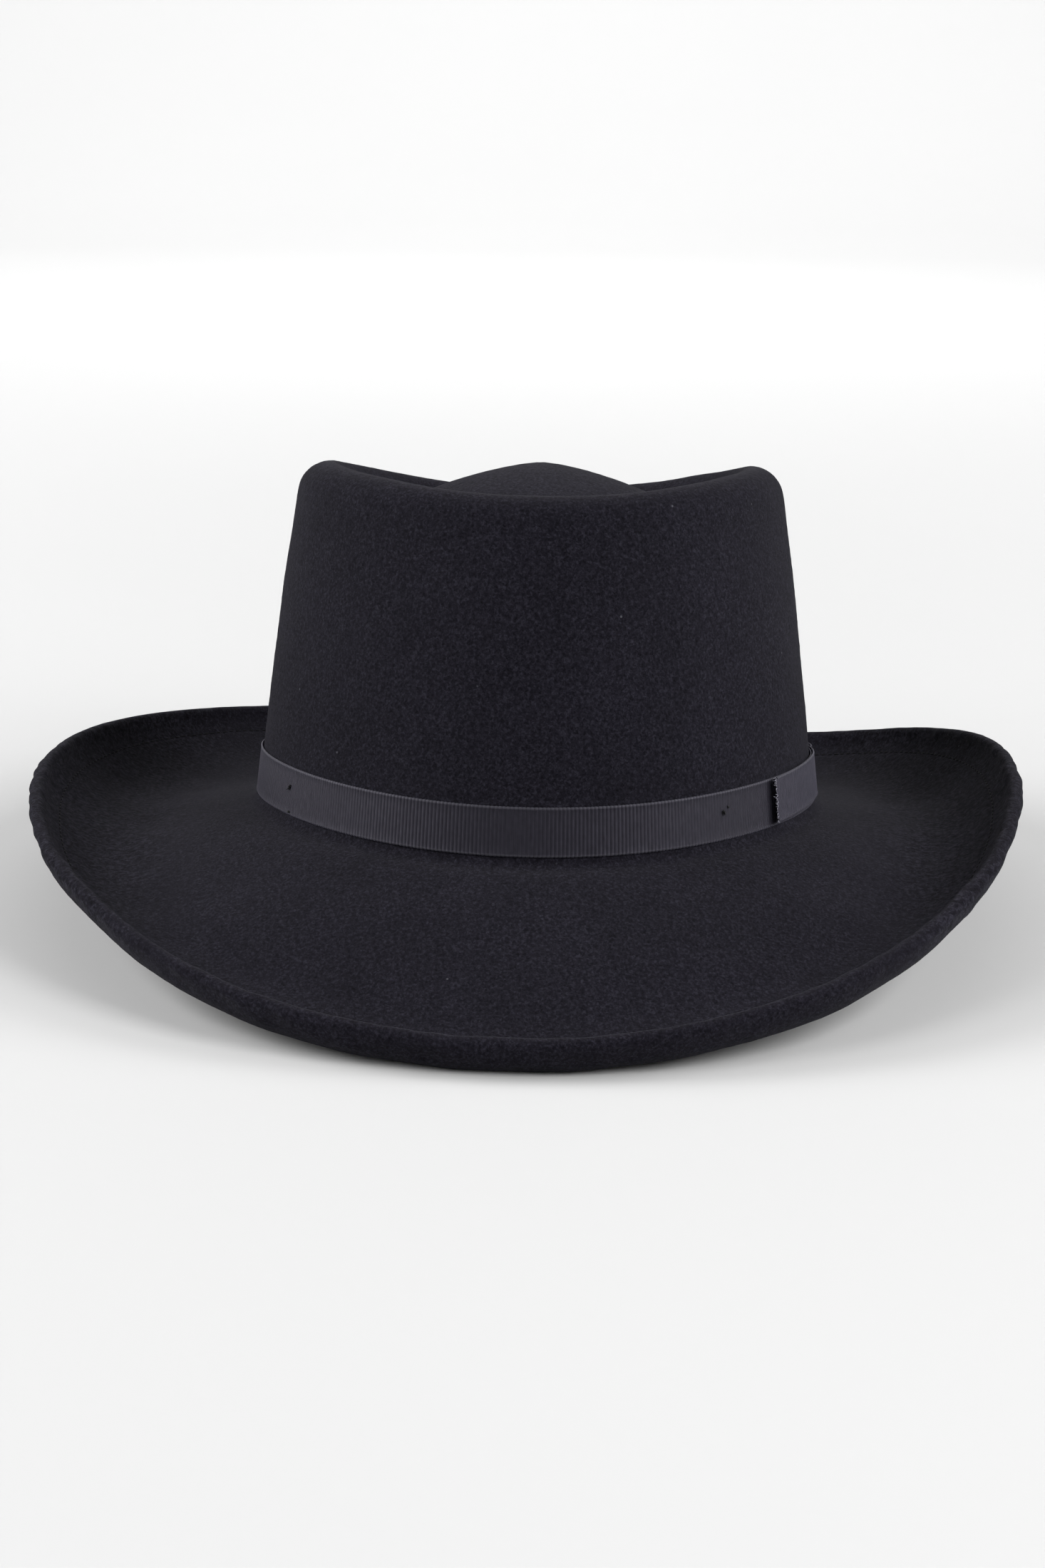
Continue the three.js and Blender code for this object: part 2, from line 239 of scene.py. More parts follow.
def make_object(name, verts, faces, material, uv=None):
    mesh = bpy.data.meshes.new(name)
    mesh.from_pydata([tuple(v) for v in verts], [], [tuple(f) for f in faces])
    if uv is not None:
        layer = mesh.uv_layers.new(name="UVMap")
        layer.data.foreach_set("uv", np.asarray(uv, np.float32).ravel())
    mesh.polygons.foreach_set("use_smooth", [True] * len(mesh.polygons))
    mesh.materials.append(material)
    mesh.update()
    made = bpy.data.objects.new(name, mesh)
    bpy.context.scene.collection.objects.link(made)
    return made


def skin(rings, closed, u=None, v=None):
    """Vertices, quads and loop UVs of a body through rings, an array of (rings, points, 3)."""
    count, points = rings.shape[:2]
    r = np.arange(count if closed else count - 1)[:, None]
    p = np.arange(points)[None, :]
    steps = ((0, 0), (0, 1), (1, 1), (1, 0))
    quads = np.stack([((r + dr) % count) * points + (p + dp) % points + 0 * (r + p) for dr, dp in steps], -1)
    u = np.arange(count + 1) if u is None else np.append(u, 2 * u[-1] - u[-2])[: count + 1]
    v = np.arange(points + 1) if v is None else np.append(v, 2 * v[-1] - v[-2])[: points + 1]
    uv = np.stack([np.stack(np.broadcast_arrays(u[r + dr], v[p + dp]), -1) for dr, dp in steps], 2)
    verts, faces, uvs = rings.reshape(-1, 3), quads.reshape(-1, 4).tolist(), uv.reshape(-1, 2)
    if not closed:
        half, last, caps = points // 2, (count - 1) * points, []
        for q in range(half - 1):
            a, b, c, d = q, points - 1 - q, points - 2 - q, q + 1
            caps += [(a, b, c, d), (last + a, last + d, last + c, last + b)]
        faces += caps
        uvs = np.concatenate([uvs, np.zeros((4 * len(caps), 2))])
    return verts, faces, uvs


def fan_closed(rings, middles):
    """Vertices and faces of a round body through rings, an array of (columns, rows, 3), closed by a
    fan to the first of the two middles at its first row, and to the second at its last."""
    count, points = rings.shape[:2]
    c = np.arange(count)[:, None]
    p = np.arange(points - 1)[None, :]
    following = (c + 1) % count * points
    faces = np.stack([c * points + p, c * points + p + 1, following + p + 1, following + p],
                     -1).reshape(-1, 4).tolist()
    top = count * points
    for i in range(count):
        j = (i + 1) % count
        faces.append([top, i * points, j * points])
        faces.append([top + 1, j * points + points - 1, i * points + points - 1])
    return np.concatenate([rings.reshape(-1, 3), middles]), faces


def tubes(paths, radii, sides=6, close_paths=False):
    """Tubes along paths, an array of (tubes, points, 3) in millimetres; radii (points,) or scalar."""
    paths = np.asarray(paths, float)
    n_tubes, n = paths.shape[:2]
    if close_paths:
        ahead = np.roll(paths, -1, 1) - np.roll(paths, 1, 1)
    else:
        ahead = np.gradient(paths, axis=1)
    ahead = unit(ahead)
    helper = np.where(np.abs(ahead[..., 2:3]) < 0.8, np.array([0, 0, 1.0]), np.array([1.0, 0, 0]))
    side = unit(np.cross(helper, ahead))
    up = np.cross(ahead, side)
    bend = (np.arange(sides) * TAU / sides)[None, None, :, None]
    radii = np.broadcast_to(radii, (n,))
    rings = paths[:, :, None] + radii[None, :, None, None] * (
        side[:, :, None] * np.cos(bend) + up[:, :, None] * np.sin(bend))
    verts = rings.reshape(-1, 3)
    faces = []
    k = np.arange(sides)
    for t in range(n_tubes):
        base = t * n * sides
        for i in range(n if close_paths else n - 1):
            a, b = base + i * sides, base + ((i + 1) % n) * sides
            faces += np.stack([a + k, a + (k + 1) % sides, b + (k + 1) % sides, b + k], -1).tolist()
        if not close_paths:
            faces.append([base + q for q in reversed(range(sides))])
            faces.append([base + (n - 1) * sides + q for q in range(sides)])
    return verts, faces


def join_parts(parts):
    verts, faces, start = [], [], 0
    for v, f in parts:
        verts.append(np.asarray(v))
        faces += [[i + start for i in face] for face in f]
        start += len(v)
    return np.concatenate(verts), faces


# ---- Materials ----

class Nodes:
    """Short names for making a node tree."""

    def __init__(self, name):
        self.material = bpy.data.materials.new(name)
        self.material.use_nodes = True
        self.tree = self.material.node_tree
        self.shader = self.tree.nodes["Principled BSDF"]
        self.coords = self.tree.nodes.new("ShaderNodeTexCoord")

    def set(self, **values):
        for key, value in values.items():
            self.shader.inputs[key.replace("_", " ")].default_value = value

    def link(self, a, b):
        self.tree.links.new(a, b)

    def add(self, kind, **settings):
        node = self.tree.nodes.new(kind)
        for key, value in settings.items():
            setattr(node, key, value)
        return node

    def noise(self, scale, detail=2.0, rough=0.5, distortion=0.0, source="Object", stretch=None):
        node = self.add("ShaderNodeTexNoise")
        node.inputs["Scale"].default_value = scale
        node.inputs["Detail"].default_value = detail
        node.inputs["Roughness"].default_value = rough
        node.inputs["Distortion"].default_value = distortion
        self.link(self.place(source, stretch), node.inputs["Vector"])
        return node.outputs["Fac"]

    def place(self, source="Object", stretch=None):
        if stretch is None:
            return self.coords.outputs[source]
        mapping = self.add("ShaderNodeMapping")
        mapping.inputs["Scale"].default_value = stretch
        self.link(self.coords.outputs[source], mapping.inputs["Vector"])
        return mapping.outputs["Vector"]

    def ramp(self, value, stops):
        node = self.add("ShaderNodeValToRGB")
        elements = node.color_ramp.elements
        while len(elements) < len(stops):
            elements.new(0.5)
        for element, (position, colour) in zip(elements, stops):
            element.position = position
            element.color = (*colour, 1) if hasattr(colour, "__len__") else (colour, colour, colour, 1)
        self.link(value, node.inputs["Fac"])
        return node.outputs["Color"]

    def range(self, value, low, high, to_low, to_high):
        node = self.add("ShaderNodeMapRange")
        for key, number in zip(("From Min", "From Max", "To Min", "To Max"), (low, high, to_low, to_high)):
            node.inputs[key].default_value = number
        self.link(value, node.inputs["Value"])
        return node.outputs["Result"]

    def math(self, operation, a, b=0.0):
        node = self.add("ShaderNodeMath", operation=operation)
        for socket, value in zip(node.inputs, (a, b)):
            if isinstance(value, (int, float)):
                socket.default_value = value
            else:
                self.link(value, socket)
        return node.outputs[0]

    def mix(self, factor, a, b, how="MIX"):
        node = self.add("ShaderNodeMix", data_type="RGBA", blend_type=how)
        for socket, value in ((node.inputs[0], factor), (node.inputs[6], a), (node.inputs[7], b)):
            if isinstance(value, (int, float)):
                socket.default_value = value
            elif hasattr(value, "__len__"):
                socket.default_value = (*value, 1)
            else:
                self.link(value, socket)
        return node.outputs[2]

    def bump(self, height, strength, distance, after=None):
        node = self.add("ShaderNodeBump")
        node.inputs["Strength"].default_value = strength
        node.inputs["Distance"].default_value = distance
        self.link(height, node.inputs["Height"])
        if after is not None:
            self.link(after, node.inputs["Normal"])
        return node.outputs["Normal"]

    def finish(self, colour=None, roughness=None, normal=None):
        for socket, value in (("Base Color", colour), ("Roughness", roughness), ("Normal", normal)):
            if value is not None:
                self.link(value, self.shader.inputs[socket])
        return self.material


LINT_COLOUR = (0.12, 0.12, 0.14)
COARSE_FROM_TO = (0.092, 0.118)  # metres from the middle, sideways


def felt_material():
    n = Nodes("wool_felt")
    n.set(Metallic=0.0, Specular_IOR_Level=0.035, Sheen_Weight=0.025, Sheen_Roughness=0.6)
    n.shader.inputs["Sheen Tint"].default_value = (0.8, 0.79, 0.88, 1)
    # on the sides of the brim the nap is a little coarser, as it looks in the photograph
    place = n.add("ShaderNodeSeparateXYZ")
    n.link(n.coords.outputs["Object"], place.inputs[0])
    sides = n.range(n.math("ABSOLUTE", place.outputs["X"]), *COARSE_FROM_TO, 0.0, 1.0)
    coarse = n.range(n.noise(720, 5, 0.8, 0.5), 0.14, 0.86, 0.0, 1.0)
    nap = n.mix(sides, n.noise(1120, 5, 0.78, 0.5), coarse)
    pile = n.noise(3100, 2, 0.7, 0.3)
    cloud = n.noise(38, 3, 0.55)
    base = n.ramp(nap, ((0.33, (0.0016, 0.0014, 0.0024)), (0.5, (0.0067, 0.0062, 0.0094)),
                        (0.65, (0.0185, 0.0175, 0.0248))))
    shade = n.ramp(cloud, ((0.3, 0.86), (0.7, 1.1)))
    toned = n.mix(1.0, base, shade, "MULTIPLY")
    spots = n.add("ShaderNodeTexVoronoi", feature="F1")
    spots.inputs["Scale"].default_value = 170
    n.link(n.coords.outputs["Object"], spots.inputs["Vector"])
    near = n.range(spots.outputs["Distance"], 0.03, 0.075, 1.0, 0.0)
    rare = n.range(n.noise(90, 1), 0.64, 0.68, 0.0, 1.0)
    lint = n.math("MULTIPLY", near, rare)
    colour = n.mix(n.math("MULTIPLY", lint, 0.45), toned, LINT_COLOUR)
    rough = n.range(nap, 0.3, 0.7, 0.98, 0.86)
    normal = n.bump(n.noise(260, 3, 0.6, 0.4), 0.25, 0.0003)
    normal = n.bump(nap, 0.7, 0.0002, normal)
    normal = n.bump(pile, 0.6, 0.0001, normal)
    return n.finish(colour, rough, normal)


WAVE_SCALE_OF_ONE = TAU / 20  # a wave texture of scale 1 has this many bands to the unit
WARP_PITCH = 0.22
RIBBON_TINT, EDGE_HIGHLIGHT_TINT = (1, 0.98, 1.32), (1, 0.98, 1.15)


def scaled(colour, factor):
    return tuple(factor * c for c in colour)


def ribbon_material(name, brightness=1.0):
    """Ribbed ribbon: its UV runs along it and up it, in metres."""
    n = Nodes(name)
    n.set(Metallic=0.0, Specular_IOR_Level=0.26, Sheen_Weight=0.17, Sheen_Roughness=0.4)
    n.shader.inputs["Sheen Tint"].default_value = (0.76, 0.71, 1.0, 1)
    n.shader.inputs["Specular Tint"].default_value = (0.82, 0.77, 1.0, 1)
    # fine warp threads across each rib, and the slubs of the yarn
    weave = n.add("ShaderNodeTexWave", wave_type="BANDS", bands_direction="Y")
    weave.inputs["Scale"].default_value = WAVE_SCALE_OF_ONE / (WARP_PITCH * MM)
    weave.inputs["Distortion"].default_value = 0.6
    n.link(n.coords.outputs["UV"], weave.inputs["Vector"])
    slub = n.noise(1100, 3, 0.6, 0.0, "UV", (1, 0.3, 1))
    base = n.ramp(slub, ((0.3, scaled(RIBBON_TINT, 0.0031 * brightness)),
                         (0.7, scaled(RIBBON_TINT, 0.0076 * brightness))))
    apart = n.add("ShaderNodeSeparateXYZ")
    n.link(n.coords.outputs["UV"], apart.inputs[0])
    width = RIBBON_TOP - RIBBON_BOTTOM
    middle = n.math("ABSOLUTE", n.math("SUBTRACT", apart.outputs["Y"], width / 2 * MM))
    # painted highlight: the ribbon's edges, where the picot is, are painted several times paler than the
    # rest, standing in for the light they catch
    picot = n.range(middle, (width / 2 - 0.75) * MM, (width / 2 - 0.35) * MM, 0.0, 0.75)
    base = n.mix(picot, base, scaled(EDGE_HIGHLIGHT_TINT, 0.034))
    # painted shade and highlight: the colour is darkened in the grooves between the ribs and lightened on
    # their crests, in step with the ribs' shape
    phase = n.math("MULTIPLY", apart.outputs["X"], math.pi / (RIB_PITCH * MM))
    rib_shading = n.math("ABSOLUTE", n.math("SINE", phase))
    base = n.mix(1.0, base, n.ramp(rib_shading, ((0.05, 0.62), (0.75, 1.12))), "MULTIPLY")
    colour = n.mix(0.25, base, weave.outputs["Color"], "MULTIPLY")
    rough = n.range(slub, 0.3, 0.7, 0.62, 0.48)
    normal = n.bump(weave.outputs["Fac"], 0.5, 0.00004)
    normal = n.bump(n.noise(2600, 2), 0.3, 0.00003, normal)
    return n.finish(colour, rough, normal)


def thread_material(name, tone=(0.004, 0.004, 0.005), shine=0.25):
    n = Nodes(name)
    n.set(Specular_IOR_Level=shine, Sheen_Weight=0.1 * shine, Roughness=0.6)
    twist = n.noise(1900, 2, 0.5)
    base = n.mix(twist, scaled(tone, 0.5), scaled(tone, 1.7))
    return n.finish(base, None, n.bump(twist, 0.6, 0.00008))


def leather_material():
    n = Nodes("sweatband_leather")
    n.set(Specular_IOR_Level=0.5, Coat_Weight=0.12, Coat_Roughness=0.35)
    cells = n.add("ShaderNodeTexVoronoi", feature="DISTANCE_TO_EDGE")
    cells.inputs["Scale"].default_value = 950
    n.link(n.coords.outputs["Object"], cells.inputs["Vector"])
    grain = n.range(cells.outputs["Distance"], 0.0, 0.25, 0.0, 1.0)
    wear = n.noise(60, 4, 0.6)
    base = n.ramp(wear, ((0.3, (0.016, 0.0135, 0.012)), (0.75, (0.034, 0.028, 0.024))))
    rough = n.range(wear, 0.3, 0.7, 0.38, 0.55)
    normal = n.bump(grain, 0.35, 0.00008)
    normal = n.bump(n.noise(2500, 2), 0.2, 0.00003, normal)
    return n.finish(base, rough, normal)


def satin_material():
    n = Nodes("lining_satin")
    n.set(Specular_IOR_Level=0.55, Sheen_Weight=0.25, Sheen_Roughness=0.3, Anisotropic=0.5)
    yarn = n.noise(900, 2, 0.5, 0.0, "Object", (1, 1, 0.12))
    base = n.ramp(yarn, ((0.3, (0.014, 0.014, 0.018)), (0.7, (0.028, 0.028, 0.035))))
    return n.finish(base, n.range(yarn, 0.3, 0.7, 0.36, 0.28), n.bump(yarn, 0.25, 0.00004))


def tape_material():
    n = Nodes("cotton_tape")
    n.set(Specular_IOR_Level=0.3, Sheen_Weight=0.3, Roughness=0.85)
    weave = n.noise(1500, 2, 0.6)
    base = n.ramp(weave, ((0.3, (0.012, 0.012, 0.015)), (0.7, (0.04, 0.04, 0.047))))
    return n.finish(base, None, n.bump(weave, 0.5, 0.0001))


def reed_material():
    n = Nodes("reed_plastic")
    n.set(Specular_IOR_Level=0.5, Roughness=0.4)
    cloud = n.noise(240, 2)
    return n.finish(n.mix(cloud, (0.5, 0.49, 0.45), (0.62, 0.61, 0.57)), None, n.bump(cloud, 0.1, 0.0001))


FELT_LOOK = felt_material()
RIBBON_LOOK = ribbon_material("grosgrain")
LIT_TAIL_LOOK = ribbon_material("grosgrain_tail_painted_lit", 3.6)  # painted light: the tail is the band's ribbon made 3.6 times paler, standing in for the light its lifted face catches
THREAD_LOOK = thread_material("sewing_thread")
# painted highlight: the yarn ends of the black ribbon are coloured pale grey, standing in for the light their
# loose fibres catch
YARN_END_HIGHLIGHT_LOOK = thread_material("yarn_ends", (0.2, 0.195, 0.235))
BRIM_THREAD_LOOK = thread_material("brim_thread", (0.0018, 0.0017, 0.0026), 0.08)
LEATHER_LOOK = leather_material()
SATIN_LOOK = satin_material()
TAPE_LOOK = tape_material()
REED_LOOK = reed_material()


def place_piece(piece, slot, *nodes):
    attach(piece, "root")
    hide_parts(*nodes)
    return piece


# ---- Felt body ----

COLUMNS = 600
STRETCHES = (  # from the middle of the dome to the edge of the lip, each with its steps
    (dome_point, 40), (crease_point, 18), (rim_point, 13), (wall_stretch, 60),
    (fillet_point, 8), (brim_point, 52), (lip_point, 13))
JOIN_SMOOTHINGS = 6
BRIM_WOBBLE = ((0.42, 70, 3), (0.16, 24, 4))  # height, wavelength and seed of each layer
CROWN_WOBBLE = ((0.22, 55, 5), (0.07, 20, 6))
EDGE_WOBBLE = ((0.06, 7, 7),)
FUZZ, FUZZ_WAVELENGTH, FUZZ_SEED, FUZZ_WAVES = 0.045, 3.4, 8, 30
EDGE_FUZZ = ((0.3, 10, 9),)
GROOVE_HALF_WIDTH, GROOVE_DEPTH, UNDER_GROOVE_DEPTH = 0.75, 0.3, 0.35
NOSE_BENDS = np.radians([76, 60, 44, 28, 12, -4, -20, -36, -52, -68, -80])
turn = np.arange(COLUMNS) * TAU / COLUMNS


def felt_outside():
    """The smoothed outside from the middle of the dome to the edge of the lip: (columns, rows, 3)."""
    grid = np.concatenate([stretch(np.linspace(0, 1, steps)[None, 1:], turn[:, None])
                           for stretch, steps in STRETCHES], 1)
    for _ in range(JOIN_SMOOTHINGS):
        grid[:, 1:-1] = (grid[:, :-2] + 2 * grid[:, 1:-1] + grid[:, 2:]) / 4
    return grid


def grid_normals(grid):
    across = np.roll(grid, -1, 0) - np.roll(grid, 1, 0)
    along = np.gradient(grid, axis=1)
    return unit(np.cross(along, across))


def distance_from_edge(grid):
    steps = np.linalg.norm(np.diff(grid, axis=1), axis=-1)
    run = np.concatenate([np.zeros((len(grid), 1)), np.cumsum(steps[:, ::-1], 1)], 1)
    return run[:, ::-1]


outside = felt_outside()
normals = grid_normals(outside)
from_edge = distance_from_edge(outside)
height = outside[..., 2] - break_z(turn)[:, None]
plan = np.hypot(outside[..., 0] / BASE[0], outside[..., 1] / BASE[1])
on_brim = plan > 1.04
# how freely the felt wanders from its exact shape: not at all under the ribbon
free = np.where(on_brim, smoothstep(1.06, 1.3, plan), smoothstep(16, 30, height))
wobble = np.where(on_brim, layered_waviness(outside, BRIM_WOBBLE), layered_waviness(outside, CROWN_WOBBLE))
edge_wobble = layered_waviness(outside, EDGE_WOBBLE) * smoothstep(9, 1, from_edge)
outside = outside + normals * (wobble * free + edge_wobble)[..., None]
groove = np.exp(-((from_edge - SEAM_INSET) / GROOVE_HALF_WIDTH) ** 2)
surface_top = outside - normals * (GROOVE_DEPTH * groove)[..., None]

# the share of the underturned edge's thickness at each row
welt = smoothstep(WELT_WIDTH + 0.5, WELT_WIDTH - 0.35, from_edge)
thickness = mix(FELT, WELT_THICKNESS, welt) - UNDER_GROOVE_DEPTH * groove
surface_under = outside - normals * thickness[..., None]

tip_along = unit(outside[:, -1] - outside[:, -3])
nose_middle = outside[:, -1] - normals[:, -1] * WELT_THICKNESS / 2
nose = np.stack([
    nose_middle + WELT_THICKNESS / 2 * (tip_along * math.cos(bend) + normals[:, -1] * math.sin(bend))
    for bend in NOSE_BENDS
], 1)

rings = np.concatenate([surface_top, nose, surface_under[:, ::-1]], 1)
fuzz = FUZZ * waviness(rings, FUZZ_WAVELENGTH, FUZZ_SEED, FUZZ_WAVES)
edge_rows = slice(surface_top.shape[1] - 2, surface_top.shape[1] + nose.shape[1] + 6)
fuzz[:, edge_rows] += layered_waviness(rings[:, edge_rows], EDGE_FUZZ)
rings += unit(rings - rings.mean((0, 1))) * fuzz[..., None]
felt_points = to_row(rings)
felt_points[..., 2] = np.maximum(felt_points[..., 2], 0.0)  # presses it flat where it stands


def felt_body():
    middles = to_row([[0, 0, CROWN_HEIGHT], [0, 0, CROWN_HEIGHT - FELT]])
    return make_object("felt_hat_body", *fan_closed(felt_points, middles), FELT_LOOK)


place_piece(felt_body(), "felt", "felt_body")


# ---- Brim stitching ----

BRIM_STITCH_PITCH, STITCH_RADIUS, STITCH_SINK = 3.1, 0.24, 0.3
SEAM_SMOOTHINGS = 4
LOWEST_THREAD = 0.0001  # metres above what the hat stands on


def along_seam(surface, side):
    """The seam's line on a surface grid, one point and one outward normal per column. The side is
    1 on the top and -1 underneath."""
    row = np.argmin(np.abs(from_edge - SEAM_INSET), axis=1)
    column = np.arange(COLUMNS)
    line, facing = surface[column, row], normals[column, row] * side
    for _ in range(SEAM_SMOOTHINGS):  # takes out the steps between rows
        line = (np.roll(line, 1, 0) + 2 * line + np.roll(line, -1, 0)) / 4
    return line, facing


def stitches(line, facing, pitch, length_share, rise, phase=0.0):
    """Separate stitches along a closed line: each dips into the cloth at both ends."""
    loop = np.concatenate([line, line[:1]])
    run = running_length(loop)
    count = int(round(run[-1] / pitch))
    shares = np.linspace(0, 1, 7)
    s = ((np.arange(count)[:, None] + phase + length_share * shares[None, :]) / count * run[-1]) % run[-1]
    faces = np.concatenate([facing, facing[:1]])
    at = rows_at(s, run, loop)
    up = unit(rows_at(s, run, faces))
    arch = -STITCH_SINK + (rise + STITCH_SINK) * np.sin(shares * math.pi) ** 0.5
    return tubes(at + up * arch[None, :, None], STITCH_RADIUS * (0.75 + 0.25 * np.sin(shares * math.pi)), 7)


verts, faces = join_parts([
    stitches(*along_seam(surface_top, 1), BRIM_STITCH_PITCH, 0.8, 0.1),
    stitches(*along_seam(surface_under, -1), BRIM_STITCH_PITCH, 0.78, 0.08, phase=0.5),
])
verts = to_row(verts)
verts[:, 2] = np.maximum(verts[:, 2], LOWEST_THREAD)
place_piece(make_object("brim_stitches", verts, faces, BRIM_THREAD_LOOK), "thread", "brim_stitching")


# ---- Grosgrain ----

RIB_STEPS = 8
RIB_DEPTH = 0.15
EDGE_ROUNDING = 0.34  # how far in from its edges the ribbon is rounded off
EDGE_ROWS = np.array([0.0, 0.05, 0.16, EDGE_ROUNDING, 0.7])
SELVAGE_INSET, SELVAGE_HALF_WIDTH, SELVAGE_RISE = 0.3, 0.22, 0.1
PICOT_REACH = 0.1


def strip(name, place, length, material, closed=False, fray=None):
    """A grosgrain ribbon. place(s, across, out) gives points for the distance along the ribbon,
    the distance up it and how far out of its middle layer. Ribs run across it."""
    ribs = max(3, int(round(length / RIB_PITCH)))
    n = ribs * RIB_STEPS + (0 if closed else 1)
    s = np.arange(n) * length / (ribs * RIB_STEPS)
    ridge = np.abs(np.sin(s / length * ribs * math.pi)) ** 0.8
    width = RIBBON_TOP - RIBBON_BOTTOM
    rows = np.unique(np.concatenate([EDGE_ROWS, np.linspace(0.7, width - 0.7, 9), width - EDGE_ROWS]))
    rows = rows[np.concatenate([[True], np.diff(rows) > 1e-4])][::-1]  # from the top edge down
    rim = np.minimum(rows, width - rows)
    body = (np.clip(rim / EDGE_ROUNDING, 0, 1) ** 0.5)[None, :]
    selvage = SELVAGE_RISE * np.exp(-((rim - SELVAGE_INSET) / SELVAGE_HALF_WIDTH) ** 2)
    half = RIBBON_THICKNESS / 2
    face = (half - RIB_DEPTH) * body + (RIB_DEPTH * ridge[:, None]) * body + selvage[None, :]
    outward = np.clip(1 - rim / EDGE_ROUNDING, 0, 1) * np.sign(rows - width / 2)
    picot = PICOT_REACH * ridge[:, None] * outward[None, :]
    across = RIBBON_BOTTOM + rows[None, :] + picot
    along = np.broadcast_to(s[:, None], across.shape).copy()
    if fray is not None:
        along = fray(along, across, length)
    front = place(along, across, face)
    back = place(along, across, -0.8 * face)
    rings = np.concatenate([front, back[:, ::-1]], 1)
    v = np.concatenate([rows, rows[::-1] + 2 * width])
    verts, faces, uv = skin(rings, closed, s * MM * RIB_PITCH * ribs / length, v * MM)
    return make_object(name, to_row(verts), faces, material, uv)


RIBBON_MIDDLE = 7.0  # height


def arc_table(from_turn, to_turn, offset):
    """Distance along the band between two turns in degrees, and the turns there, in radians."""
    angles = np.radians(np.linspace(from_turn, to_turn, 2000))
    line = wall_point(RIBBON_MIDDLE, angles, offset)
    return running_length(line), angles


def wall_place(from_turn, to_turn, offset, lift=lambda angle: 0.0, seed=11, slack=0.12,
               ride=lambda angle, across: across):
    """A place function for strip, along the crown's wall: lift raises the ribbon off the wall, ride
    moves it up, and slack is how far it waves."""
    run, angles = arc_table(from_turn, to_turn, offset)
    whole = angles[-1] - angles[0]

    def place(s, across, out):
        angle = np.interp(s, run, angles)
        angle = np.where(s < 0, angles[0] + s / run[-1] * whole, angle)  # yarn ends reach past the ends
        angle = np.where(s > run[-1], angles[-1] + (s / run[-1] - 1) * whole, angle)
        middle = offset - RIBBON_THICKNESS / 2 + lift(angle)
        across = ride(angle, across)
        base = wall_point(across, angle, 0.0)
        wave = slack * (0.5 + 0.5 * waviness(base, 34, seed))
        return wall_point(across, angle, middle + out + wave)

    return place, run[-1]


band_place, band_length = wall_place(BOW_TURN + 0.4, BOW_TURN + 359.6, LAYER, slack=0.1)
band = place_piece(strip("ribbon_band_cloth", band_place, band_length, RIBBON_LOOK), "grosgrain",
                   "ribbon_band")


RIDE_FROM, RIDE_OVER, RISE_OVER = 8.0, 22.0, 22.0  # degrees of turn
FRAY_WAVES = ((0.5, 0.9, 0.6), (0.34, 3.1, 2.0), (0.3, 7.3, 1.0))  # height, number and phase
FRAY_REACH = 1.6
YARN_ENDS = 46
YARN_RADII = (0.1, 0.05)


def tail_ride(angle, across):
    """The tails' edges ride up a little away from the bow, the lower one more."""
    away = np.clip((np.abs(np.degrees(angle) - BOW_TURN) - RIDE_FROM) / RIDE_OVER, 0, 1)
    share = (across - RIBBON_BOTTOM) / (RIBBON_TOP - RIBBON_BOTTOM)
    return across + away * mix(TAIL_RIDE["bottom"], TAIL_RIDE["top"], share)


def tail_rise(angle):
    """The tails stand off the band more and more toward their cut ends."""
    turn_degrees = np.degrees(angle)
    to_end = np.minimum(turn_degrees - TAIL_TURNS[0], TAIL_TURNS[1] - turn_degrees)
    return TAIL_LIFT * np.maximum(0, 1 - to_end / RISE_OVER) ** 2


def ragged(along, across, length):
    """Cut ends of the tails: an uneven edge where the ribs have come loose."""
    up = across[:1]
    tooth = sum(tall * np.sin(up * number + phase) for tall, number, phase in FRAY_WAVES)
    near_start = np.exp(-along / FRAY_REACH)
    near_end = np.exp(-(length - along) / FRAY_REACH)
    return along + near_start * tooth - near_end * np.roll(tooth, 3, 1)


tail_place, tail_length = wall_place(*TAIL_TURNS, 2 * LAYER, tail_rise, 12, 0.12, tail_ride)
tails = place_piece(strip("bow_tail_cloth", tail_place, tail_length, LIT_TAIL_LOOK, fray=ragged), "grosgrain",
                    "bow_tails")


def loose_threads():
    """Yarn ends standing out of the two cut ends."""
    rng = np.random.default_rng(21)
    paths = []
    for end in (0, 1):
        for across in np.linspace(RIBBON_BOTTOM + 0.1, RIBBON_TOP - 0.1, YARN_ENDS):
            reach = rng.uniform(0.3, 1.15)
            t = np.linspace(-0.25, 1, 6)
            s = -t * reach if end == 0 else tail_length + t * reach
            drift = across + rng.normal(0, 0.35) * t ** 2 + rng.normal(0, 0.1)
            out = rng.normal(0.05, 0.16) + rng.normal(0.1, 0.35) * t ** 2
            paths.append(tail_place(s, np.clip(drift, RIBBON_BOTTOM - 0.3, RIBBON_TOP + 0.3), out))
    verts, faces = tubes(np.array(paths), np.linspace(*YARN_RADII, 6), 5)
    return make_object("bow_tail_yarn_ends", to_row(verts), faces, YARN_END_HIGHLIGHT_LOOK)


yarn_ends = loose_threads()
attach(yarn_ends, "root")


LOOP_FULLNESS, LOOP_END_REACH = 0.5, 0.035
LOOP_SWELL_FROM, LOOP_SWELL_RATE = 0.4, math.radians(300)


